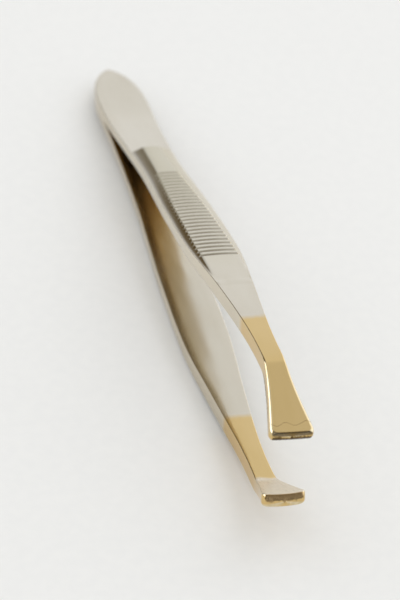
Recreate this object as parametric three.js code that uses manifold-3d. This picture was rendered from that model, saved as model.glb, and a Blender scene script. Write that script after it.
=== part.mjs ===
// Flat-tip tweezers: two spring-steel leaves spot-welded together at the tail.
// Each leaf bows away from the mid-plane, carries a ribbed finger pad, narrows to a neck
// and ends in a wide plated tip that is cranked inwards.
// Frame: +X towards the tips, +Y across, +Z the way the tweezers open. Millimetres.
// Each leaf is drawn from the tail end with the mid-plane at Z = 0; the assembly is then moved so that
// its origin is the centre of the flat face under the welded tail.
import * as THREE from 'three';
import { mergeVertices } from 'three/addons/utils/BufferGeometryUtils.js';
import Module from 'manifold-3d';

// ---- driving dimensions
const LENGTH = 95;             // tail end to tip edge
const TAIL_HALF_WIDTH = 3.3;   // widest place of the welded tail
const WAIST_HALF_WIDTH = 2.6;  // where the finger pad begins
const PAD_HALF_WIDTH = 2.97;   // widest place of the pad
const NECK_HALF_WIDTH = 1.13;  // narrowest place, behind the tip
const TIP_HALF_WIDTH = 2.5;    // at the gripping edge
const TIP_CORNER = 0.45;       // rounding of the tip's two corners, seen from above

const LEAF_AT_TAIL = 1.0;      // leaf thickness in the weld
const TAIL_FACE_X = 8;         // centre of the tail's flat faces, from the tail end
const WELD_END = 14.5;         // the leaves part here, and the arms flex about this line
const FLEX_GAP = 0.3;          // clearance that lets the rigid arm turn on the rigid tail
const CRANK_X = 87.6;          // where the tip bends inwards
const TIP_EDGE = 1.3;          // height of the end face at the gripping edge
const REST_HALF_GAP = 3.5;     // mid-plane to the gripping edge, tweezers open

const PAD_START = 27.0;        // square rear end of the raised finger pad
const PAD_END = 67;            // the pad and its thin rim both run into the full neck here
const RIB_COUNT = 26;
const FIRST_RIB = 36.6;
const RIB_PITCH = 1.03;
const RIB_DEPTH = 0.2;
const RIB_GROOVE = 0.62;       // width of a groove at the surface
const END_LEAN = 0.35;         // how far the inner edge of the end face sits behind the outer one

const WELD_X = [5.2, 10.6];    // centres of the two spot welds
const WELD_RADIUS = 1.4;
const WELD_HALF_HEIGHT = 0.35;
const WELD_POCKET_GAP = 0.3;

// The two leaves were set by hand, so their bows and plating lines differ a little.
// bow is the inner face's height over the mid-plane, at each x.
const UPPER = {
  bow: [
    [WELD_END, 0.02], [18, 0.26], [22, 0.72], [27, 1.3], [38, 2.68], [52, 4.4], [64, 5.7], [76, 6.55],
    [CRANK_X - 1, 6.85],
  ],
  platingX: 77.8,
};
const LOWER = {
  bow: [
    [WELD_END, 0.02], [18, 0.4], [22, 1.0], [27, 1.8], [38, 3.5], [52, 4.9], [64, 6.0], [76, 6.45],
    [CRANK_X - 1, 6.4],
  ],
  platingX: 75.2,
};
// Leaf thickness along x: thin tail, thin rim beside the raised pad, then the full neck.
const THICKNESS = [
  [WELD_END, LEAF_AT_TAIL], [22, 1.0], [30, 1.2], [57, 1.4], [PAD_END, 1.83], [76, 1.81], [CRANK_X - 1, 1.8],
];
// Leaf thickness through the raised pad.
const PAD_THICKNESS = [[PAD_START, 1.75], [44, 1.9], [60, 1.94], [PAD_END, 1.84]];
// Half-width along x, from the waist to the crank.
const OUTLINE = [
  [PAD_START, WAIST_HALF_WIDTH + 0.05], [34, WAIST_HALF_WIDTH], [44, 2.87], [55, PAD_HALF_WIDTH], [62, 2.8],
  [70, 2.03], [79, 1.25], [85, NECK_HALF_WIDTH], [CRANK_X, NECK_HALF_WIDTH + 0.02], [91.5, 1.6],
];
// Half-width of the raised pad.
const PLATEAU = [[PAD_START, 1.15], [36, 1.4], [46, 1.88], [58, 2.15], [PAD_END, 2.2]];

const wasm = await Module();
wasm.setup();

// ---- solids and booleans
function toSolid(geometry) {
  const bare = geometry.clone();
  bare.deleteAttribute('normal');
  bare.deleteAttribute('uv');
  const merged = mergeVertices(bare, 1e-5);
  return new wasm.Manifold(new wasm.Mesh({
    numProp: 3,
    vertProperties: new Float32Array(merged.attributes.position.array),
    triVerts: new Uint32Array(merged.index.array),
  }));
}

function toGeometry(solid) {
  const mesh = solid.getMesh();
  const geometry = new THREE.BufferGeometry();
  geometry.setAttribute('position', new THREE.BufferAttribute(mesh.vertProperties, 3));
  geometry.setIndex(new THREE.BufferAttribute(mesh.triVerts, 1));
  geometry.computeVertexNormals();
  return geometry;
}

// Straight-line value of a [[x, value], ...] list at x.
function at(list, x) {
  if (x <= list[0][0]) return list[0][1];
  for (let i = 1; i < list.length; i++) {
    const [x0, v0] = list[i - 1];
    const [x1, v1] = list[i];
    if (x <= x1) return v0 + (v1 - v0) * (x - x0) / (x1 - x0);
  }
  return list[list.length - 1][1];
}

const points = (list) => list.map(([a, b]) => new THREE.Vector2(a, b));
const backwards = (list) => list.slice().reverse();
const addUp = (a, b) => a.map(([x, v]) => [x, v + at(b, x)]);

// A side-view outline (x, z) made solid right across the leaf's width.
function sideSlab(shape, curveSegments = 6) {
  const width = 4 * TAIL_HALF_WIDTH;
  const geometry = new THREE.ExtrudeGeometry(shape, { depth: width, bevelEnabled: false, curveSegments });
  geometry.rotateX(Math.PI / 2);
  geometry.translate(0, width / 2, 0);
  return toSolid(geometry);
}

// A plan outline (x, y) made solid from z0 to z1.
function planPrism(shape, z0, z1, curveSegments = 6) {
  const geometry = new THREE.ExtrudeGeometry(shape, { depth: z1 - z0, bevelEnabled: false, curveSegments });
  geometry.translate(0, 0, z0);
  return toSolid(geometry);
}

// A block between two stations of x, larger than the leaf in y and z.
function block(x0, x1) {
  const geometry = new THREE.BoxGeometry(x1 - x0, 30, 60);
  geometry.translate((x0 + x1) / 2, 0, 0);
  return toSolid(geometry);
}

// ---- one leaf, drawn above the mid-plane
function planOutline() {
  const shape = new THREE.Shape();
  shape.moveTo(0, 0);
  const tail = [[0.7, 0.9], [2.6, 1.9], [5.2, 2.72], [8.6, 3.2], [12, TAIL_HALF_WIDTH], [18, 3.06]];
  const right = [...tail, ...OUTLINE];
  shape.splineThru(points(right));
  shape.lineTo(LENGTH - TIP_CORNER, TIP_HALF_WIDTH);
  shape.quadraticCurveTo(LENGTH, TIP_HALF_WIDTH, LENGTH, TIP_HALF_WIDTH - TIP_CORNER);
  shape.lineTo(LENGTH, -TIP_HALF_WIDTH + TIP_CORNER);
  shape.quadraticCurveTo(LENGTH, -TIP_HALF_WIDTH, LENGTH - TIP_CORNER, -TIP_HALF_WIDTH);
  shape.lineTo(91.5, -1.6);
  shape.splineThru(points(backwards(right).slice(1).map(([x, y]) => [x, -y])));
  shape.lineTo(0, 0);
  return shape;
}

function sideProfile(leaf) {
  const outer = addUp(leaf.bow, THICKNESS);
  const [crankIn, crankOut] = [leaf.bow, outer].map((line) => line[line.length - 1]);
  const shape = new THREE.Shape();
  shape.moveTo(0, 0);
  shape.lineTo(0, LEAF_AT_TAIL - 0.25);
  shape.quadraticCurveTo(0, LEAF_AT_TAIL, 0.6, LEAF_AT_TAIL);
  shape.lineTo(WELD_END, LEAF_AT_TAIL);
  shape.splineThru(points(outer.slice(1)));
  shape.quadraticCurveTo(crankOut[0] + 1.0, crankOut[1], CRANK_X + 0.9, crankOut[1] - 0.5);
  shape.lineTo(LENGTH, REST_HALF_GAP + TIP_EDGE);
  shape.lineTo(LENGTH - END_LEAN, REST_HALF_GAP);
  shape.lineTo(crankIn[0] + 0.9, crankIn[1] - 0.25);
  shape.quadraticCurveTo(crankIn[0] + 0.4, crankIn[1], crankIn[0], crankIn[1]);
  shape.splineThru(points(backwards(leaf.bow).slice(1)));
  shape.lineTo(WELD_END, 0);
  shape.lineTo(0, 0);
  return shape;
}

// The raised pad: a narrower strip standing on the leaf, square at its rear end.
function raisedPad(leaf) {
  const top = PAD_THICKNESS.map(([x, t]) => [x, at(leaf.bow, x) + t]);
  const middle = [33, 38, 46, 52].map((x) => [x, at(leaf.bow, x) + at(PAD_THICKNESS, x)]);
  const crest = [...top, ...middle].sort((p, q) => p[0] - q[0]);
  const side = new THREE.Shape();
  side.moveTo(PAD_START, at(leaf.bow, PAD_START) + 0.5);
  side.lineTo(...crest[0]);
  side.splineThru(points(crest.slice(1)));
  side.lineTo(PAD_END, at(leaf.bow, PAD_END) + 0.5);
  side.splineThru(points([52, 38, PAD_START].map((x) => [x, at(leaf.bow, x) + 0.5])));
  const plan = new THREE.Shape();
  plan.moveTo(...PLATEAU[0]);
  plan.splineThru(points(PLATEAU.slice(1)));
  plan.lineTo(PAD_END, -at(PLATEAU, PAD_END));
  plan.splineThru(points(backwards(PLATEAU).slice(1).map(([x, y]) => [x, -y])));
  plan.closePath();
  return sideSlab(side).intersect(planPrism(plan, -1, 14)).subtract(ribCutters(crest));
}

// V-grooves across the pad, each turned square to the surface.
function ribCutters(crest) {
  let all = null;
  for (let i = 0; i < RIB_COUNT; i++) {
    const x = FIRST_RIB + i * RIB_PITCH;
    const groove = new THREE.Shape();
    groove.moveTo(-RIB_GROOVE, RIB_DEPTH);   // twice as wide as at the surface, clear above the ridges
    groove.lineTo(0, -RIB_DEPTH);
    groove.lineTo(RIB_GROOVE, RIB_DEPTH);
    groove.closePath();
    const length = 2 * PAD_HALF_WIDTH;
    const geometry = new THREE.ExtrudeGeometry(groove, { depth: length, bevelEnabled: false });
    geometry.rotateX(Math.PI / 2);
    geometry.translate(0, length / 2, 0);
    geometry.rotateY(-Math.atan((at(crest, x + 3) - at(crest, x - 3)) / 6));
    geometry.translate(x, 0, at(crest, x));
    const cutter = toSolid(geometry);
    all = all ? all.add(cutter) : cutter;
  }
  return all;
}

// Pockets for the weld metal, open on the leaf's inner face.
function weldDiscs(radius, halfHeight) {
  return WELD_X.map((x) => {
    const profile = points([[0, -halfHeight], [radius, -halfHeight], [radius, halfHeight], [0, halfHeight]]);
    const disc = new THREE.LatheGeometry(profile, 24);
    disc.rotateX(Math.PI / 2);
    disc.translate(x, 0, 0);
    return disc;
  });
}

function makeLeaf(leaf) {
  let solid = sideSlab(sideProfile(leaf)).intersect(planPrism(planOutline(), -1, 14));
  solid = solid.add(raisedPad(leaf));
  for (const pocket of weldDiscs(WELD_RADIUS + WELD_POCKET_GAP, WELD_HALF_HEIGHT)) {
    solid = solid.subtract(toSolid(pocket));
  }
  return {
    tail: solid.intersect(block(-5, WELD_END - FLEX_GAP / 2)),
    arm: solid.intersect(block(WELD_END + FLEX_GAP / 2, leaf.platingX)),
    tip: solid.intersect(block(leaf.platingX, LENGTH + 5)),
  };
}

// ---- materials and assembly
const nickel = () => new THREE.MeshStandardMaterial({ color: 0xcfc9bb, roughness: 0.3, metalness: 1 });
const gold = () => new THREE.MeshStandardMaterial({ color: 0xd2b06a, roughness: 0.22, metalness: 1 });
const weldSteel = () => new THREE.MeshStandardMaterial({ color: 0x8f8c86, roughness: 0.6, metalness: 1 });

const tweezers = new THREE.Group();
tweezers.position.set(-TAIL_FACE_X, 0, LEAF_AT_TAIL);

function place(name, geometry, material, parent) {
  const mesh = new THREE.Mesh(geometry, material);
  mesh.name = name;
  parent.add(mesh);
}

const upper = makeLeaf(UPPER);
place('upper_leaf_tail', toGeometry(upper.tail), nickel(), tweezers);
place('upper_arm', toGeometry(upper.arm), nickel(), tweezers);
place('upper_plated_tip', toGeometry(upper.tip), gold(), tweezers);

const lower = makeLeaf(LOWER);
const flipped = (solid) => toGeometry(solid.mirror([0, 0, 1]));
place('lower_leaf_tail', flipped(lower.tail), nickel(), tweezers);
place('lower_arm', flipped(lower.arm), nickel(), tweezers);
place('lower_plated_tip', flipped(lower.tip), gold(), tweezers);

weldDiscs(WELD_RADIUS, WELD_HALF_HEIGHT).forEach((disc, i) => {
  place(`spot_weld_${i === 0 ? 'rear' : 'front'}`, toGeometry(toSolid(disc)), weldSteel(), tweezers);
});

export default tweezers;
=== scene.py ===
"""Looks for a pair of flat-tip tweezers: nickel-plated steel leaves with gold-plated tips on a pale floor.

Each leaf is drawn in its own flat coordinates, in millimetres: u along the leaf from the tail end, y across
it and n through its thickness, from the inner face (0) to the outer face. `through` is n as a share of that
thickness. The frame says where the leaf sits.
"""

import math

import bmesh
import bpy
import numpy as np
from mathutils import Matrix, Vector


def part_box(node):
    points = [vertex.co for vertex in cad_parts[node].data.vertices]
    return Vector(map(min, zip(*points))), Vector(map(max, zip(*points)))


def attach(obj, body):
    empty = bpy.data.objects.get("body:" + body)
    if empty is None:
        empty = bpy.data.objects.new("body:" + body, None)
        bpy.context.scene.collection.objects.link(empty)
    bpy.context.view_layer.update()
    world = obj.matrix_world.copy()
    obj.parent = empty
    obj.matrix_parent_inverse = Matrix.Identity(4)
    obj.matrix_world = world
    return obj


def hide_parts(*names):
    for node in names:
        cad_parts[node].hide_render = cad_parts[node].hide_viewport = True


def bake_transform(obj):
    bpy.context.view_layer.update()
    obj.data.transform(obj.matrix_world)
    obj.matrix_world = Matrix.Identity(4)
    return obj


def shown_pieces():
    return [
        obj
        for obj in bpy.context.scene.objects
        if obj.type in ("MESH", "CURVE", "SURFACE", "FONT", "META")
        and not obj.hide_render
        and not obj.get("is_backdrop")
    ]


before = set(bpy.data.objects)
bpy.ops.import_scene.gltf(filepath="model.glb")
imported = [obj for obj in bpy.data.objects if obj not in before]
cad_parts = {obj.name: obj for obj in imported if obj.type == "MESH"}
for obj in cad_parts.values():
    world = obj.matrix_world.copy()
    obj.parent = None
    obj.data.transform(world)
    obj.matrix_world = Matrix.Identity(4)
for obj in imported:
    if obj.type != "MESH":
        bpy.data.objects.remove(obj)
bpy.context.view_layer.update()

MM = 0.001

# ---- places read from the frame
TAIL_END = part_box("upper_leaf_tail")[0].x
MID_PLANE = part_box("lower_leaf_tail")[1].z      # where the two leaves meet inside the tail
LENGTH = (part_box("upper_plated_tip")[1].x - TAIL_END) / MM
WELD_END = (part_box("upper_leaf_tail")[1].x - TAIL_END) / MM
TAIL_HALF_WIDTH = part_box("upper_leaf_tail")[1].y / MM
LEAF_AT_TAIL = (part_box("upper_leaf_tail")[1].z - MID_PLANE) / MM


def softened(values, step, soft):
    """Evenly spaced values blurred over `soft` millimetres, with straight ends kept straight."""
    reach = int(4 * soft / step)
    kernel = np.exp(-0.5 * (np.arange(-reach, reach + 1) * step / soft) ** 2)
    padded = np.pad(values, reach, mode="reflect", reflect_type="odd")
    return np.convolve(padded, kernel / kernel.sum(), mode="valid")


class Line:
    """A line through a few (u, value) stations, softened over `soft` mm and straight past its ends."""

    STEP = 0.05         # between the points at which the line is worked out
    MARGIN = 20.0       # how far it is worked out past each end of the leaf

    def __init__(self, *stations, soft=1.5):
        x, v = (np.array(column, float) for column in zip(*stations))
        self.x = np.arange(-self.MARGIN, LENGTH + self.MARGIN, self.STEP)
        slope_in = (v[1] - v[0]) / (x[1] - x[0])
        slope_out = (v[-1] - v[-2]) / (x[-1] - x[-2])
        table = np.interp(self.x, x, v)
        table = np.where(self.x < x[0], v[0] + slope_in * (self.x - x[0]), table)
        table = np.where(self.x > x[-1], v[-1] + slope_out * (self.x - x[-1]), table)
        self.v = softened(table, self.STEP, soft)

    def __call__(self, u):
        return np.interp(u, self.x, self.v)


# ---- one leaf's shape, in millimetres
TAIL_OVAL = 11.0                     # length of the pointed oval at the tail
OVAL_NOSE, OVAL_SIDES = 2.6, 0.7     # the powers that shape it
TIP_HALF_WIDTH = 2.52
TIP_CORNER = 0.6                     # corner radius of the tip, seen from above
CRANK_OUT = {"upper": 87.3, "lower": 87.75}     # where the outer face bends inwards
CRANK_IN = {"upper": 87.2, "lower": 88.05}      # where the inner face does
OUT_SOFT, IN_SOFT = 0.7, 0.42        # tightness of the two bends
SEAM = 0.004                         # least distance from the mid-plane to an inner face
END_LEAN = 0.4                       # how far the inner edge of the end face sits behind the outer one
LEAN_FROM = 84.0                     # where the inner face starts to fall behind
END_FLAT = 0.42                      # share of the end face that leans; the rest stands upright
UPRIGHT_REACH = 0.5                  # length at the end over which the sides take up that shape
END_SWEEP = {"upper": 0.1, "lower": 0.28}       # how far the corners of the end stand behind its middle
END_SLANT = {"upper": 0.11, "lower": 0.0}       # how far out of square the end is, at each corner
GRIP_HEIGHT = {"upper": 3.19, "lower": 3.69}    # mid-plane to the gripping edge
END_HEIGHT = {"upper": 1.17, "lower": 1.39}     # of the end face
END_ROUND = 0.14                     # edge radius round the end face
PAD_START, PAD_END = 27.0, 70.0      # raised finger pad: square rear end, and where it runs into the neck
PAD_CROWN = 0.09                     # how far the pad's top falls from its middle to its sides
RIB_COUNT, FIRST_RIB, RIB_PITCH = 26, 36.6, 1.03
RIB_DEPTH, RIB_GROOVE = 0.24, 0.56   # depth of a V-groove, and its width at the surface
GROOVE_SIDE = 0.9                    # depth of a groove where it leaves the pad's top, against its middle
COVE_CURVE = 1.3                     # the flute beside the pad: 1 would be a plain bevel, more hollows it
LAND = 0.004                         # flat left between the flute and the leaf's rounded edge
CROWN_FROM, FLUTE_FROM = 0.05, 0.1   # how far the pad rises before it has a crown, and a flute painted with shade

# the distance from the mid-plane to each leaf's inner face, as far as the crank
BOW = {
    "upper": Line((0, 0), (WELD_END, 0), (18, 0.31), (22, 0.78), (27, 1.3), (38, 2.68), (52, 4.4), (64, 5.7),
                  (76, 6.55), (84, 6.83), (87.2, 6.86)),
    "lower": Line((0, 0), (WELD_END, 0), (18, 0.47), (22, 1.08), (27, 1.85), (38, 3.5), (52, 4.9), (64, 6.0),
                  (76, 6.45), (84, 6.45), (88, 6.4)),
}
# how far the middle of each leaf wanders in y
SIDEWAYS = {
    "upper": Line((0, 0), (62, 0), (80, -0.08), (88, -0.12), (LENGTH, 0.17)),
    "lower": Line((0, 0), (WELD_END, 0), (30, -0.1), (88, -0.1), (LENGTH, 0.03)),
}
# the leaf's thickness at its rim, and in the middle of the pad
RIM = Line((0, LEAF_AT_TAIL), (WELD_END, LEAF_AT_TAIL), (22, 0.98), (30, 1.18), (40, 1.3), (57, 1.4),
           (63, 1.6), (69, 1.84), (78, 1.8), (88, 1.78))
PAD_TOP = Line((PAD_START, 1.78), (44, 1.92), (60, 1.94), (PAD_END, 1.86), (78, 1.8))
# radii of the long outer and inner edges
OUTER_ROUND = Line((0, 0.14), (PAD_START - 3, 0.12), (PAD_START + 4, 0.07), (66, 0.07), (72, 0.1),
                   (86, 0.12), (89, 0.34), (LENGTH, 0.42), soft=1.0)
INNER_ROUND = Line((0, 0.01), (11, 0.01), (14, 0.06), (40, 0.09), (86, 0.12), (LENGTH, 0.2), soft=0.6)
# half the width of the leaf, and of the flat top of the pad
HALF_WIDTH = Line((0, TAIL_HALF_WIDTH), (13, TAIL_HALF_WIDTH), (18, 3.08), (24, 2.82), (29, 2.64),
                  (34, 2.58), (40, 2.74), (46, 2.94), (55, 3.02), (60, 2.94), (64, 2.66), (68, 2.26),
                  (72, 1.92), (76, 1.58), (80, 1.28), (84, 1.14), (87.6, 1.17), (90, 1.5), (92, 1.86),
                  (LENGTH, TIP_HALF_WIDTH), soft=0.9)
PLATEAU = Line((PAD_START, 1.12), (36, 1.34), (46, 1.88), (58, 2.15), (64, 2.2), (PAD_END, 1.95), soft=1.0)


def half_width(u):
    """Half the leaf's width: a pointed oval tail, and a tip with rounded corners."""
    tail = (1 - np.clip(1 - u / TAIL_OVAL, 0, 1) ** OVAL_NOSE) ** OVAL_SIDES
    back = np.clip(u - (LENGTH - TIP_CORNER), 0, TIP_CORNER)
    corner = TIP_CORNER - np.sqrt(np.maximum(TIP_CORNER ** 2 - back ** 2, 0))
    return HALF_WIDTH(u) * tail - corner


def smooth_step(t):
    """0 below 0, 1 above 1, and a smooth rise between."""
    t = min(max(t, 0.0), 1.0)
    return t * t * (3 - 2 * t)


def rounding(distance, radius):
    """How far a quarter-round edge has dropped at this distance from the outline."""
    inside = np.clip(radius - distance, 0, radius)
    return radius - np.sqrt(np.maximum(radius ** 2 - inside ** 2, 0))


def ribs(u):
    """Depth of the V-grooves, 0 on the ridges."""
    nearest = np.clip(np.round((u - FIRST_RIB) / RIB_PITCH), 0, RIB_COUNT - 1) * RIB_PITCH + FIRST_RIB
    return RIB_DEPTH * np.clip(1 - np.abs(u - nearest) / (RIB_GROOVE / 2), 0, 1)


# ---- side view of a leaf
BEND_STEP = 0.02        # between the points at which a bent face is worked out
BEND_MARGIN = 5.0       # how far it is worked out past each end of the leaf


def bent(line, corner_u, corner_z, end_u, end_z, soft):
    """A face's height: the bowed line as far as its corner, then straight to the tip, with a tight bend."""
    u = np.arange(-BEND_MARGIN, LENGTH + BEND_MARGIN, BEND_STEP)
    straight = corner_z + (u - corner_u) * (end_z - corner_z) / (end_u - corner_u)
    height = softened(np.where(u < corner_u, line(u), straight), BEND_STEP, soft)
    return lambda x: np.interp(x, u, height)


def faces_of(leaf):
    """The inner and the outer face of a leaf in side view, each giving (x, z) at u."""
    grip = GRIP_HEIGHT[leaf]
    crank_in, crank_out = CRANK_IN[leaf], CRANK_OUT[leaf]

    def bow(u):
        return np.maximum(BOW[leaf](u), SEAM)

    inner = bent(bow, crank_in, bow(crank_in), LENGTH - END_LEAN, grip, IN_SOFT)
    outer = bent(lambda u: bow(u) + RIM(u), crank_out, bow(crank_out) + RIM(crank_out),
                 LENGTH, grip + END_HEIGHT[leaf], OUT_SOFT)

    def inner_at(u):
        x = u - END_LEAN * smooth_step((u - LEAN_FROM) / (LENGTH - LEAN_FROM))
        return np.stack([x, inner(x)], -1)

    def outer_at(u):
        return np.stack([u, outer(u)], -1)

    return inner_at, outer_at


# ---- where a leaf is cut into cross-sections, in millimetres
TAIL_CUTS, TAIL_CUT_ANGLES = 26, (0.0014, 0.36)     # radians; cosines crowd these cuts at the tail end
PAD_START_CUTS = (-0.25, -0.04, 0.0, 0.07, 0.14, 0.3, 0.6)
GROOVE_CUTS = (-0.34, -RIB_GROOVE / 2, -0.13, 0.0, 0.13, RIB_GROOVE / 2, 0.34)
CRANK_BEFORE, CRANK_AFTER, CRANK_STEP = 1.2, 1.4, 0.1
CORNER_CUTS = 14        # round the corners of the tip
EVEN_STEP = 0.5         # everywhere else
LEAST_GAP = 0.3         # between an even cut and the others


def stations(plating_u):
    """Where the leaf is cut into cross-sections: close together wherever its shape changes quickly."""
    tail = LENGTH * (1 - np.cos(np.linspace(*TAIL_CUT_ANGLES, TAIL_CUTS)))
    pad_start = PAD_START + np.array(PAD_START_CUTS)
    grooves = [FIRST_RIB + i * RIB_PITCH + cut for i in range(RIB_COUNT) for cut in GROOVE_CUTS]
    first_crank, last_crank = min(CRANK_IN.values()), max(CRANK_IN.values())
    crank = np.arange(first_crank - CRANK_BEFORE, last_crank + CRANK_AFTER, CRANK_STEP)
    corner = LENGTH - TIP_CORNER * (1 - np.sin(np.linspace(0, math.pi / 2, CORNER_CUTS)))
    wanted = np.sort(np.concatenate([tail, pad_start, grooves, crank, corner, [plating_u]]))
    even = np.arange(EVEN_STEP, LENGTH - TIP_CORNER, EVEN_STEP)
    spare = [u for u in even if np.min(np.abs(wanted - u)) > LEAST_GAP]
    return np.unique(np.round(np.concatenate([wanted, spare]), 5)).clip(0, LENGTH)


# ---- one cross-section, from the middle of the outer face round to the middle of the inner face
PLATEAU_STEPS = (0.0, 0.3, 0.6, 0.85, 1.0)                      # shares of the pad's flat top
COVE_STEPS = (0.04, 0.12, 0.24, 0.38, 0.54, 0.7, 0.86, 1.0)     # shares of the flute
ROUND_ANGLES = np.radians([0, 15, 30, 45, 60, 75, 90])          # round the outer edge
WALL_STEPS = (0.7, 0.35)            # down the side wall, each a share of the height still left
INNER_ANGLES = np.radians([90, 67.5, 45, 22.5, 0])              # round the inner edge
INNER_STEPS = (0.6, 0.3, 0.0)                                   # shares of the inner face
MIDDLE_SHARE = 0.55                 # of the flat width, where the plateau's cuts go when there is no pad
WIDEST_PLATEAU = 0.97               # the most of the flat width that a plateau takes up
WIDEST_OUTER, WIDEST_INNER = 0.9, 0.5       # the most of the half width that an edge's rounding takes up
FLUTE_RECESS = 0.45                 # how deep the top of the flute counts for its painted shade, where the foot of a groove is 1
SLOPE_REACH = 0.01                  # distance to each side at which the outline's slope is taken
LEAST_LEAN = 0.1                    # keeps the rounding narrow where the outline turns square across


def outline_lean(u):
    """Cosine of the angle between the leaf's outline and its length."""
    ahead, behind = half_width(u + SLOPE_REACH), half_width(max(u - SLOPE_REACH, SLOPE_REACH / 10))
    return math.cos(math.atan((ahead - behind) / (2 * SLOPE_REACH)))


def cross_section(u, thickness):
    """Half a ring of (y, n) points at station u, with how deep each lies in a groove or flute, which the
    material paints as shade, and how much it is rubbed at the edges, which it paints pale: wear and a
    painted highlight, both 0 to 1."""
    width = float(half_width(u))
    lean = outline_lean(u)
    end_drop = float(rounding(LENGTH - u, END_ROUND))
    outer_round = float(OUTER_ROUND(u))
    edge = min(outer_round / max(lean, LEAST_LEAN), WIDEST_OUTER * width)
    flute_out = width - edge - LAND
    on_pad = PAD_START < u < PAD_END
    top = float(PLATEAU(u)) if u > PAD_START else MIDDLE_SHARE * flute_out
    plateau = min(top, WIDEST_PLATEAU * flute_out)
    height = max(float(PAD_TOP(u) - RIM(u)), 0.0) if on_pad else 0.0
    crown = PAD_CROWN if height > CROWN_FROM else 0.0
    flute_recess = FLUTE_RECESS if height > FLUTE_FROM else 0.0
    groove = float(ribs(u))
    points, recess, rubbed_sheen = [], [], []

    def add(y, n, deep=0.0, worn_sheen=0.0):
        points.append((y, n))
        recess.append(deep)
        rubbed_sheen.append(worn_sheen)

    def outer_height(y, rise):
        return thickness + rise - max(float(rounding((width - y) * lean, outer_round)), end_drop)

    for step in PLATEAU_STEPS:
        cut = groove if step < 1.0 else groove * GROOVE_SIDE
        y = step * plateau
        add(y, outer_height(y, height - crown * step ** 2 - cut), cut / RIB_DEPTH)
    # the flute is given a recess share, which the material paints as shade
    for share in COVE_STEPS:
        cove = (height - crown) * (1 - share) ** COVE_CURVE
        y = plateau + (flute_out - plateau) * share
        add(y, outer_height(y, min(cove, max(height - groove, 0.0))), flute_recess * (1 - share))
    # the rounded edge's share that the material paints pale: partly rubbed wear, partly a painted highlight
    for angle in ROUND_ANGLES:
        y = width - edge * (1 - math.sin(angle))
        add(y, outer_height(y, 0.0), worn_sheen=math.sin(2 * angle))
    inner_edge = min(float(INNER_ROUND(u)), WIDEST_INNER * width)
    low, high = max(inner_edge, end_drop), points[-1][1]
    for share in WALL_STEPS:
        add(width, low + share * (high - low))
        high = points[-1][1]
    for angle in INNER_ANGLES:
        y = width - inner_edge * (1 - math.sin(angle))
        add(y, max(float(rounding(width - y, inner_edge)), end_drop), worn_sheen=math.sin(2 * angle))
    for step in INNER_STEPS:
        add(step * (width - inner_edge), end_drop)
    return points, recess, rubbed_sheen


# ---- meshes
CLOSING = (0.85, 0.6, 0.35, 0.12)       # sizes of the rings that close the end face
SHARP = math.radians(28)                # an edge bent more than this stays crisp


def ring_at(leaf, faces, u, shrink):
    """One closed ring of a leaf at station u: points in metres, leaf coordinates, recess, and edge wear with
    its painted highlight.
    """
    side = 1 if leaf == "upper" else -1
    low, high = (face(u) for face in faces)
    thickness = float(np.linalg.norm(high - low))
    through = (high - low) / thickness
    half, recess, rubbed_sheen = cross_section(u, thickness)
    ring = half + [(-y, n) for y, n in half[-2:0:-1]]
    upright = END_LEAN * smooth_step((u - LENGTH + UPRIGHT_REACH) / UPRIGHT_REACH)
    near_end = smooth_step((u - CRANK_OUT[leaf]) / (LENGTH - CRANK_OUT[leaf]))
    points, coordinates = [], []
    for y, n in ring:
        y, share = shrink * y, 0.5 + shrink * (n / thickness - 0.5)
        x, z = low + share * thickness * through
        x += upright * (min(share / END_FLAT, 1.0) - share)
        across = y / TIP_HALF_WIDTH
        x += near_end * (END_SLANT[leaf] * across - END_SWEEP[leaf] * across ** 2)
        y_set = y + float(SIDEWAYS[leaf](u))
        points.append((TAIL_END + x * MM, y_set * MM, MID_PLANE + side * z * MM))
        coordinates.append((u, y, share))
    return points, coordinates, recess + recess[-2:0:-1], rubbed_sheen + rubbed_sheen[-2:0:-1]


def loft_faces(rings, size):
    """The faces between rings of `size` points each, with both ends closed."""
    faces = []
    for i in range(rings - 1):
        for j in range(size):
            a, b = i * size + j, i * size + (j + 1) % size
            faces.append((a, a + size, b + size, b))
    last = (rings - 1) * size
    return faces + [tuple(range(size)), tuple(last + j for j in reversed(range(size)))]


def build_length(name, leaf, first_u, last_u, plating_u):
    """A closed mesh of one leaf between two stations, with its leaf coordinates kept for the material."""
    faces = faces_of(leaf)
    cuts = [(u, 1.0) for u in stations(plating_u) if first_u <= u <= last_u]
    if last_u == LENGTH:
        cuts += [(cuts[-1][0], shrink) for shrink in CLOSING]
    rings = [ring_at(leaf, faces, u, shrink) for u, shrink in cuts]
    vertices, coordinates, recess, wear_sheen = (sum(column, []) for column in zip(*rings))

    mesh = bpy.data.meshes.new(name)
    mesh.from_pydata(vertices, [], loft_faces(len(rings), len(rings[0][0])))
    mesh.attributes.new("leaf_pos", "FLOAT_VECTOR", "POINT").data.foreach_set(
        "vector", np.array(coordinates, np.float32).ravel())
    for attribute, values in (("recess", recess), ("wear_sheen", wear_sheen)):
        mesh.attributes.new(attribute, "FLOAT", "POINT").data.foreach_set(
            "value", np.array(values, np.float32))
    work = bmesh.new()
    work.from_mesh(mesh)
    bmesh.ops.recalc_face_normals(work, faces=work.faces)
    for face in work.faces:
        face.smooth = True
    for edge in work.edges:
        edge.smooth = edge.calc_face_angle(0) < SHARP
    work.to_mesh(mesh)
    work.free()
    piece = bpy.data.objects.new(name, mesh)
    bpy.context.scene.collection.objects.link(piece)
    return piece


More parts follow.
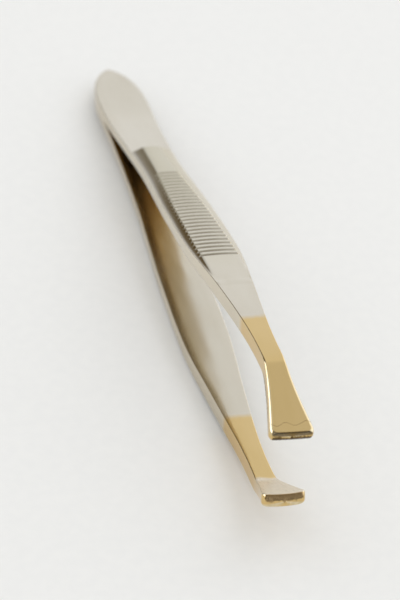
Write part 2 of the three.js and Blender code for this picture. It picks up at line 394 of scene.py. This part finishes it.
# ---- node helpers
class Nodes:
    """Short ways to add and join shader nodes in one tree."""

    def __init__(self, tree):
        self.tree = tree
        tree.nodes.clear()

    def add(self, kind, inputs=None, **settings):
        node = self.tree.nodes.new(kind)
        for key, value in settings.items():
            setattr(node, key, value)
        for key, value in (inputs or {}).items():
            self.plug(value, node.inputs[key])
        return node

    def plug(self, value, socket):
        if isinstance(value, bpy.types.NodeSocket):
            self.tree.links.new(value, socket)
        else:
            socket.default_value = value

    def math(self, operation, a, b=0.0):
        return self.add("ShaderNodeMath", {0: a, 1: b}, operation=operation).outputs[0]

    def add_up(self, *values):
        total = values[0]
        for value in values[1:]:
            total = self.math("ADD", total, value)
        return total

    def times(self, *values):
        product = values[0]
        for value in values[1:]:
            product = self.math("MULTIPLY", product, value)
        return product

    def ramp(self, value, low, high, out_low=0.0, out_high=1.0, smooth=True):
        node = self.add("ShaderNodeMapRange", {"Value": value, "From Min": low, "From Max": high,
                                               "To Min": out_low, "To Max": out_high})
        node.interpolation_type = "SMOOTHSTEP" if smooth else "LINEAR"
        return node.outputs["Result"]

    def window(self, value, low, high, soft):
        """1 between low and high, falling smoothly to 0 over `soft` on each side."""
        return self.times(self.ramp(value, low - soft, low), self.ramp(value, high, high + soft, 1.0, 0.0))

    def noise(self, position, stretch, detail=3.0, roughness=0.5, turn=0.0, offset=(0, 0, 0)):
        mapped = self.add("ShaderNodeMapping", {"Vector": position, "Location": offset,
                                                "Rotation": (0, 0, turn), "Scale": stretch})
        node = self.add("ShaderNodeTexNoise", {"Vector": mapped.outputs[0], "Scale": 1.0, "Detail": detail,
                                               "Roughness": roughness})
        return node.outputs["Fac"]

    def mix(self, factor, a, b):
        """Colour a where the factor is 0 and colour b where it is 1."""
        node = self.add("ShaderNodeMix", data_type="RGBA")
        for socket, value in ((node.inputs[0], factor), (node.inputs[6], a), (node.inputs[7], b)):
            self.plug(value, socket)
        return node.outputs[2]

    def attribute(self, name, output="Fac"):
        return self.add("ShaderNodeAttribute", attribute_name=name).outputs[output]

    def split(self, vector):
        return self.add("ShaderNodeSeparateXYZ", {0: vector}).outputs

    def finish(self, shader, kind="ShaderNodeOutputMaterial"):
        self.plug(shader.outputs[0], self.add(kind).inputs[0])


def new_material(name):
    """An empty material and the nodes to fill it with."""
    material = bpy.data.materials.new(name)
    material.use_nodes = True
    return material, Nodes(material.node_tree)


# ---- the two platings; colours are linear
NICKEL = (0.70, 0.632, 0.505, 1)
NICKEL_SHADE = (0.65, 0.575, 0.44, 1)
# pale edges: partly rubbed wear, partly a painted highlight
NICKEL_WORN_SHEEN = (0.76, 0.69, 0.57, 1)
GOLD = (0.725, 0.52, 0.23, 1)
GOLD_SHADE = (0.67, 0.47, 0.185, 1)
# pale edges: partly rubbed wear, partly a painted highlight
GOLD_WORN_SHEEN = (0.80, 0.68, 0.45, 1)
HANDLED = (0.60, 0.535, 0.385, 1)       # the pad's top, dulled by fingers
RESIDUE_AND_SHADE = (0.22, 0.145, 0.055, 1)       # painted shade in the grooves and the flute, beside the weld and on the end faces; also the plating bath's wavy line on the upper tip
GAP_SHADE_TINT = (0.68, 0.50, 0.22, 1)        # painted warm shade on the inner faces, from the weld into the pad
NICKEL_ROUGHNESS, GOLD_ROUGHNESS = 0.13, 0.1

# noise: cells per mm along, across and through the leaf, and how far two of them are turned
CLOUDS = (0.1, 0.35, 0.3)
GRAIN = (0.3, 24, 6)
SCRATCHES, SCRATCH_TURN = (0.9, 40, 2), math.radians(24)
CROSSING, CROSSING_TURN = (1.2, 46, 2), math.radians(-38)
WAVES = (0.14, 0.4, 0.2)
# the patches in which edges are painted pale
RUBBING_SHEEN = (0.5, 1.0, 0.5)
CLOUD_SPAN = (0.3, 0.75)                # noise values between which a cloud deepens
SCRATCH_SPAN, SCRATCH_HEIGHT = (0.62, 0.74), 0.5
CROSSING_SPAN, CROSSING_HEIGHT = (0.66, 0.78), 0.4
FINE_HEIGHT, WAVE_HEIGHT = 0.002 * MM, 0.035 * MM

# `through` up to which a point is on the inner face, and from which it is off it
INNER_FACE_SPAN = (0.01, 0.04)
# `through` up to which a point is off the pad's raised top, and from which it is on it
PAD_TOP_SPAN = (1.05, 1.2)
# ramps: from, to, strength at each
# painted shade in the grooves: stronger towards the tips and on the -Y side
GROOVE_SHADE_ALONG = (PAD_START + 6, PAD_END - 10, 0.55, 1.0)
GROOVE_SHADE_ACROSS = (-1.6, 2.2, 0.95, 0.5)
FINGERS_ALONG = (PAD_START + 7, PAD_END - 12, 0.95, 0.35)
# painted shade on the inner faces near the weld, then a painted warm shade from the pad's start
GAP_SHADE_ALONG = (WELD_END, WELD_END + 20, 0.5, 0)
GAP_TINT_ALONG = (PAD_START, PAD_START + 24, 0.5, 0)


def plating_tint(n, position, clouds, inner_face, colour, shade, worn_sheen):
    """Cloudy plating with fingered pads, painted shade in the grooves, the flute and the gap between the
    leaves, and edges painted pale as rubbed wear and a painted highlight.
    """
    along, across, through = n.split(position)
    tint = n.mix(n.ramp(clouds, *CLOUD_SPAN, 0, 0.5), colour, shade)
    # painted shade in the grooves and the flute, deepest at the foot of each groove
    groove_shade = n.times(n.ramp(along, *GROOVE_SHADE_ALONG), n.ramp(across, *GROOVE_SHADE_ACROSS))
    tint = n.mix(n.times(n.math("POWER", n.attribute("recess"), 1.5), groove_shade), tint, RESIDUE_AND_SHADE)
    fingered = n.times(n.ramp(through, *PAD_TOP_SPAN), n.ramp(along, *FINGERS_ALONG))
    tint = n.mix(fingered, tint, HANDLED)
    # edges painted pale: partly rubbed wear, partly a painted highlight where they catch the light
    rubbed_sheen = n.times(n.attribute("wear_sheen"), n.ramp(n.noise(position, RUBBING_SHEEN), 0.3, 0.6, 0.55, 0.95))
    tint = n.mix(rubbed_sheen, tint, worn_sheen)
    # painted shade between the leaves: dark near the weld, then warm brown into the pad
    tint = n.mix(n.times(n.ramp(along, *GAP_SHADE_ALONG), inner_face), tint, RESIDUE_AND_SHADE)
    return n.mix(n.times(n.ramp(along, *GAP_TINT_ALONG), inner_face), tint, GAP_SHADE_TINT)


def plating_bump(n, position, grain):
    """Fine lengthwise grain and two sets of scratches, over a slow waviness."""
    scratches = n.noise(position, SCRATCHES, detail=2, turn=SCRATCH_TURN, offset=(3, 7, 1))
    crossing = n.noise(position, CROSSING, detail=2, turn=CROSSING_TURN, offset=(9, 2, 5))
    fine = n.add_up(grain, n.times(n.ramp(scratches, *SCRATCH_SPAN), SCRATCH_HEIGHT),
                    n.times(n.ramp(crossing, *CROSSING_SPAN), CROSSING_HEIGHT))
    fine_bump = n.add("ShaderNodeBump", {"Height": fine, "Strength": 0.2, "Distance": FINE_HEIGHT})
    waves = n.noise(position, WAVES, detail=1, offset=(7, 1, 2))
    bump = n.add("ShaderNodeBump", {"Height": waves, "Strength": 1.0, "Distance": WAVE_HEIGHT,
                                    "Normal": fine_bump.outputs[0]})
    return bump.outputs[0]


def plated_metal(name, colour, shade, worn_sheen, roughness, extra=None):
    """Polished plating; `extra` may change the tint and the roughness it is given."""
    material, n = new_material(name)
    position = n.attribute("leaf_pos", "Vector")
    clouds = n.noise(position, CLOUDS, detail=2, offset=(4, 4, 4))
    grain = n.noise(position, GRAIN, detail=4, roughness=0.6)
    inner_face = n.ramp(n.split(position)[2], *INNER_FACE_SPAN, 1, 0)
    tint = plating_tint(n, position, clouds, inner_face, colour, shade, worn_sheen)
    rough = n.add_up(n.ramp(clouds, *CLOUD_SPAN, roughness - 0.02, roughness + 0.04),
                     n.ramp(grain, 0.35, 0.7, -0.015, 0.03), n.times(inner_face, 0.05))
    if extra:
        tint, rough = extra(n, position, tint, rough)
    n.finish(n.add("ShaderNodeBsdfPrincipled", {"Base Color": tint, "Metallic": 1.0, "Roughness": rough,
                                                "Normal": plating_bump(n, position, grain)}))
    return material


# ---- what is special about the gold tips
PLATING_OFFSET = {"upper": -0.4, "lower": -0.35}    # from the CAD's plating line to the start of the gold
PLATING_FADE = 1.3                      # length over which the gold thickens
GROUND_STEEL = (0.76, 0.67, 0.53, 1)    # the bare gripping face
GROUND_SPAN = (0.02, 0.06)              # `through` up to which a point is on it, and from which off it
# painted shade: near black, on the upper tip's end face and along the edge above it
END_SHADE_DARK = (0.06, 0.032, 0.01, 1)
# painted shade: brown, on the lower tip's end face
BARE_SHADE_BROWN = (0.58, 0.40, 0.2, 1)
BARE_END = {"upper": (0.56, END_SHADE_DARK), "lower": (0.5, BARE_SHADE_BROWN)}     # bare inner share of the end face, and the painted shade it is given
END_FACE_SPAN = (0.06, 0.02)            # distances from the end: off the end face, and on it
RAGGED = 0.03                           # softness of the ragged line on the end face
SHADED_EDGE = 0.07                       # width of the painted dark shade along the edge above the upper tip's end face
# the wavy tide line on the upper tip: its place, half width and softness, then the wave and how it wanders
TIDE_FROM_END, TIDE_HALF, TIDE_SOFT = 0.95, 0.02, 0.03
TIDE_WAVE, TIDE_TURN, TIDE_WANDER = 0.13, 2.9, 0.2


def gold_thickness(n, position, u, plating_u):
    """0 where the gold starts and 1 where it is full, along a slightly uneven line."""
    uneven = n.ramp(n.noise(position, (0.3, 0.6, 0.3), detail=2), 0, 1, -0.4, 0.4)
    return n.ramp(n.add_up(u, uneven), plating_u, plating_u + PLATING_FADE)


def gripping_face(n, position, u, through, crank_in):
    """1 on the inner face beyond the crank, where it is ground bare."""
    uneven = n.ramp(n.noise(position, (0.3, 0.35, 0.3), detail=1), 0, 1, -0.8, 0.8)
    beyond_crank = n.ramp(n.add_up(u, uneven), crank_in - 0.4, crank_in + 0.4)
    return n.times(n.ramp(through, *GROUND_SPAN, 1, 0), beyond_crank)


def end_face_tint(n, position, at_end, through, leaf, tint):
    """Gold mottled with painted shade, whose ragged edge leaves the inner part of the end face bare; the
    bare part and that edge are painted with shade. Also where it is bare.
    """
    bare_share, bare_shade_tint = BARE_END[leaf]
    mottled = n.ramp(n.noise(position, (0.1, 5.0, 4.0), detail=4, roughness=0.7), 0.35, 0.7)
    # painted shade in mottles over the end face
    tint = n.mix(n.times(at_end, mottled, 0.3), tint, RESIDUE_AND_SHADE)
    torn = n.ramp(n.noise(position, (0.1, 2.6, 1.6), detail=5, roughness=0.72), 0.2, 0.8, -0.2, 0.2)
    ragged = n.add_up(through, torn)
    # the bare part is painted with shade, near black on the upper tip and brown on the lower
    bare = n.times(at_end, n.ramp(ragged, bare_share - RAGGED, bare_share + RAGGED, 1, 0))
    tint = n.mix(bare, tint, n.mix(n.times(mottled, 0.3), bare_shade_tint, RESIDUE_AND_SHADE))
    # painted shade along the ragged edge of the gold
    fringe = n.times(at_end, n.window(ragged, bare_share - 4 * RAGGED, bare_share, 0.04))
    return n.mix(n.times(fringe, 0.6), tint, RESIDUE_AND_SHADE), bare


def tide_line_tint(n, position, u, y, through, tint):
    """A painted dark shade along the edge above the end face, and a fine wavy line left by the plating bath
    a little behind it.
    """
    # painted shade along the edge above the end face
    edge = n.times(n.window(u, LENGTH - SHADED_EDGE, LENGTH, 0.04), n.ramp(through, 0.6, 0.7))
    tint = n.mix(n.times(edge, 0.75), tint, END_SHADE_DARK)
    wave = n.times(n.math("SINE", n.times(y, TIDE_TURN)), TIDE_WAVE)
    wander = n.ramp(n.noise(position, (0.2, 0.9, 0.2), detail=2), 0, 1, -TIDE_WANDER, TIDE_WANDER)
    offset = n.math("SUBTRACT", n.math("SUBTRACT", u, LENGTH - TIDE_FROM_END), n.add_up(wave, wander))
    line = n.times(n.window(offset, -TIDE_HALF, TIDE_HALF, TIDE_SOFT), n.ramp(through, 0.8, 0.9))
    return n.mix(n.times(line, 0.5), tint, RESIDUE_AND_SHADE)


def tip_finish(leaf, plating_u):
    """Gold that thins out towards the nickel, is ground off the gripping face and ends raggedly, with
    painted shade on its end face.
    """

    def finish(n, position, tint, rough):
        u, y, through = n.split(position)
        tint = n.mix(gold_thickness(n, position, u, plating_u), NICKEL, tint)
        ground = gripping_face(n, position, u, through, CRANK_IN[leaf])
        tint = n.mix(n.times(ground, 0.85), tint, GROUND_STEEL)
        at_end = n.ramp(u, *(LENGTH - back for back in END_FACE_SPAN))
        tint, bare = end_face_tint(n, position, at_end, through, leaf, tint)
        if leaf == "upper":
            tint = tide_line_tint(n, position, u, y, through, tint)
        return tint, n.add_up(rough, n.times(n.math("MAXIMUM", bare, ground), 0.12))

    return finish


# ---- the two leaves
def add_leaf(leaf, nickel):
    """The nickel length of a leaf, which bends from the weld to the pad, and its gold tip."""
    arm, tail, tip = f"{leaf}_arm", f"{leaf}_leaf_tail", f"{leaf}_plated_tip"
    plating_u = round((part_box(tip)[0].x - TAIL_END) / MM + PLATING_OFFSET[leaf], 5)
    gold = plated_metal(f"gold_plate_{leaf}", GOLD, GOLD_SHADE, GOLD_WORN_SHEEN, GOLD_ROUGHNESS,
                        tip_finish(leaf, plating_u))
    strip = build_length(f"{leaf}_leaf_nickel", leaf, 0, plating_u, plating_u)
    strip.data.materials.append(nickel)
    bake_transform(strip)
    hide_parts(tail, arm)
    plated = build_length(f"{leaf}_tip_gold", leaf, plating_u, LENGTH, plating_u)
    plated.data.materials.append(gold)
    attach(plated, arm)
    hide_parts(tip)


nickel_plate = plated_metal("nickel_plate", NICKEL, NICKEL_SHADE, NICKEL_WORN_SHEEN, NICKEL_ROUGHNESS)
for leaf_name in ("upper", "lower"):
    add_leaf(leaf_name, nickel_plate)


# ---- the two welds, which keep their CAD shape
def weld_metal():
    """Fused bare steel with a rippled, heat-tinted surface."""
    material, n = new_material("weld_metal")
    heat = n.noise(n.add("ShaderNodeTexCoord").outputs["Object"], (900, 900, 900), detail=4)
    tint = n.mix(n.ramp(heat, 0.35, 0.65), (0.30, 0.28, 0.27, 1), (0.42, 0.33, 0.25, 1))
    ripple = n.add("ShaderNodeBump", {"Height": heat, "Strength": 0.6, "Distance": 0.03 * MM})
    n.finish(n.add("ShaderNodeBsdfPrincipled", {"Base Color": tint, "Metallic": 1.0, "Roughness": 0.55,
                                                "Normal": ripple.outputs[0]}))
    return material


fused_steel = weld_metal()
for node in ("spot_weld_rear", "spot_weld_front"):
    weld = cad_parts[node]
    weld.data.materials.clear()
    weld.data.materials.append(fused_steel)

# ---- floor: the tweezers lie on the lower leaf's pad, so the floor leans against the leaf's frame
REST_TILT = math.radians(5.85)
FLOOR_UP = Vector((math.sin(REST_TILT), 0, math.cos(REST_TILT)))
FLOOR_HALF = 0.9                        # metres


def floor_paper():
    """Pale matt paper with a faint fibre."""
    material, n = new_material("floor_paper")
    fibre = n.noise(n.add("ShaderNodeTexCoord").outputs["Object"], (600, 600, 600), detail=5)
    tint = n.mix(n.ramp(fibre, 0.3, 0.7), (0.835, 0.838, 0.83, 1), (0.85, 0.852, 0.842, 1))
    n.finish(n.add("ShaderNodeBsdfPrincipled", {"Base Color": tint, "Roughness": 0.75,
                                                "Specular IOR Level": 0.15}))
    return material


def add_floor():
    """A square sheet that touches the lowest point of the pieces."""
    lowest = min(FLOOR_UP.dot(v.co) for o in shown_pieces() for v in o.data.vertices)
    mesh = bpy.data.meshes.new("floor")
    mesh.from_pydata([(x, y, 0) for x, y in ((-1, -1), (1, -1), (1, 1), (-1, 1))], [], [(0, 1, 2, 3)])
    mesh.materials.append(floor_paper())
    floor = bpy.data.objects.new("floor", mesh)
    bpy.context.scene.collection.objects.link(floor)
    floor.matrix_world = (Matrix.Translation(FLOOR_UP * lowest) @ Matrix.Rotation(REST_TILT, 4, "Y")
                          @ Matrix.Diagonal((FLOOR_HALF, FLOOR_HALF, 1, 1)))
    floor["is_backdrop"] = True


add_floor()

# ---- studio: each panel has two azimuths and their softness, two elevations and theirs, and a strength
WIDE_WINDOW = ((12, 110), 26, (1, 48), 20, 0.83)
WINDOW_PANE = ((36, 128), 12, (4, 46), 10, 0.5)
LEFT_PANEL = ((-112, -52), 8, (14, 48), 8, 2.4)
CEILING = ((-180, 180), 1, (68, 95), 20, 0.66)
BELOW = ((-180, 180), 1, (-95, -2), 2, 0.75)
PANEL_LIGHT = (0.95, 0.995, 1.08, 1)
WARM_DARK = (0.15, 0.117, 0.07, 1)      # the room away from the panels
GREY_DARK = (0.1, 0.1, 0.1, 1)          # and near them
FLOOR_FILL = (1.0, 0.998, 0.99, 1)      # the light that matt surfaces get
FILL_FROM = (-0.35, 0.45, 0.55)         # where it is strongest


class Sky:
    """Directions seen from the floor, in degrees: azimuth is 0 behind the tail and grows to +Y."""

    def __init__(self, n):
        self.n = n
        look = n.add("ShaderNodeMapping", {"Vector": n.add("ShaderNodeTexCoord").outputs["Generated"],
                                           "Rotation": (0, -REST_TILT, 0)})
        self.look = look.outputs[0]
        self.to_tips, self.to_side, height = n.split(self.look)
        self.elevation = n.times(n.math("ARCSINE", height), 180 / math.pi)
        self.azimuth = n.times(n.math("ARCTAN2", self.to_side, n.times(self.to_tips, -1.0)), 180 / math.pi)

    def panel(self, azimuths, az_soft, elevations, el_soft, strength):
        """A soft panel of light between two azimuths and two elevations."""
        across = self.n.window(self.azimuth, *azimuths, az_soft)
        up = self.n.window(self.elevation, *elevations, el_soft)
        return self.n.times(across, up, strength)

    def seen_in_metal(self):
        """Strength of the panels that the metal reflects."""
        n = self.n
        dimmer_to_tips = n.math("MAXIMUM", n.ramp(self.to_tips, -0.05, 0.3, 1, 0.28),
                                n.ramp(self.to_side, 0.2, 0.36))
        ceiling = n.times(self.panel(*CEILING), dimmer_to_tips)
        beyond_tips = n.times(n.ramp(self.to_tips, 0.5, 0.9, 0, 0.38), n.window(self.elevation, 2, 40, 8))
        dimmer_above = n.ramp(self.elevation, 14, 26, 1.03, 0.96)
        window = n.times(n.add_up(self.panel(*WIDE_WINDOW), self.panel(*WINDOW_PANE)), dimmer_above)
        return n.add_up(window, self.panel(*LEFT_PANEL), ceiling, beyond_tips, self.panel(*BELOW))


def add_studio():
    """A world that shows the metal its panels, and lights matt surfaces with a separate even fill."""
    world = bpy.data.worlds.new("studio")
    bpy.context.scene.world = world
    world.use_nodes = True
    n = Nodes(world.node_tree)
    sky = Sky(n)
    glow = sky.seen_in_metal()
    panels = n.add("ShaderNodeEmission", {"Color": PANEL_LIGHT, "Strength": glow})
    room = n.add("ShaderNodeEmission", {"Color": n.mix(n.ramp(glow, 0, 0.5), WARM_DARK, GREY_DARK),
                                        "Strength": 1.0})
    reflected = n.add("ShaderNodeAddShader", {0: panels.outputs[0], 1: room.outputs[0]})
    towards_fill = n.add("ShaderNodeVectorMath", {0: sky.look, 1: FILL_FROM}, operation="DOT_PRODUCT")
    strength = n.ramp(towards_fill.outputs["Value"], -0.6, 1.0, 0.89, 1.055, smooth=False)
    fill = n.add("ShaderNodeEmission", {"Color": FLOOR_FILL, "Strength": strength})
    diffuse_ray = n.add("ShaderNodeLightPath").outputs["Is Diffuse Ray"]
    n.finish(n.add("ShaderNodeMixShader", {0: diffuse_ray, 1: reflected.outputs[0], 2: fill.outputs[0]}),
             "ShaderNodeOutputWorld")
    world.cycles.sampling_method = "NONE"


add_studio()

# ---- a soft lamp for the floor's shadow, in metres and watts, unseen in the metal's reflections
LAMP_DIRECTION = Vector((-0.4, 0.6, 0.68))      # in the floor's frame
LAMP_DISTANCE, LAMP_SIZE, LAMP_POWER = 0.7, 0.5, 0.3
LAMP_COLOUR = (1.0, 0.99, 0.96)


def add_lamp():
    """A disk of light aimed at the middle of the tweezers."""
    data = bpy.data.lights.new("key", "AREA")
    data.shape, data.size, data.energy, data.color = "DISK", LAMP_SIZE, LAMP_POWER, LAMP_COLOUR
    lamp = bpy.data.objects.new("key", data)
    bpy.context.scene.collection.objects.link(lamp)
    away = Matrix.Rotation(REST_TILT, 3, "Y") @ LAMP_DIRECTION.normalized()
    lamp.location = Vector((TAIL_END + 0.5 * LENGTH * MM, 0, MID_PLANE)) + away * LAMP_DISTANCE
    lamp.rotation_euler = away.to_track_quat("Z", "Y").to_euler()
    lamp.visible_glossy = False


add_lamp()

# ---- camera: over the tips, looking along the tweezers towards the tail
VIEW_AZIMUTH, VIEW_ELEVATION, VIEW_ROLL = (math.radians(a) for a in (15.55, 30.71, -4.11))
VIEW_DISTANCE = 0.295
VIEW_TARGET = Vector((TAIL_END + 58.6 * MM, -0.87 * MM, MID_PLANE - 0.95 * MM))
LENS, SENSOR = 150.1, 36.0
NEAREST = 0.01                          # metres; the camera sees nothing nearer
F_STOP = 52
FOCUS_AT = (TAIL_END + 82.7 * MM, 0, MID_PLANE)


def add_focus():
    """An empty on the tweezers to focus on, so that other views are sharp there too."""
    focus = bpy.data.objects.new("focus", None)
    bpy.context.scene.collection.objects.link(focus)
    focus.location = FOCUS_AT
    return focus


def add_camera():
    """The camera of the main view."""
    towards = Vector((math.cos(VIEW_AZIMUTH) * math.cos(VIEW_ELEVATION),
                      -math.sin(VIEW_AZIMUTH) * math.cos(VIEW_ELEVATION), math.sin(VIEW_ELEVATION)))
    right = Vector((math.sin(VIEW_AZIMUTH), math.cos(VIEW_AZIMUTH), 0))
    level = Matrix((right, towards.cross(right), towards)).transposed()
    data = bpy.data.cameras.new("camera")
    data.lens, data.sensor_width, data.clip_start = LENS, SENSOR, NEAREST
    data.dof.use_dof = True
    data.dof.aperture_fstop = F_STOP
    data.dof.focus_object = add_focus()
    camera = bpy.data.objects.new("camera", data)
    bpy.context.scene.collection.objects.link(camera)
    camera.matrix_world = (Matrix.Translation(VIEW_TARGET + towards * VIEW_DISTANCE)
                           @ level.to_4x4() @ Matrix.Rotation(-VIEW_ROLL, 4, "Z"))
    bpy.context.scene.camera = camera


add_camera()
bpy.context.scene.view_settings.view_transform = "Standard"
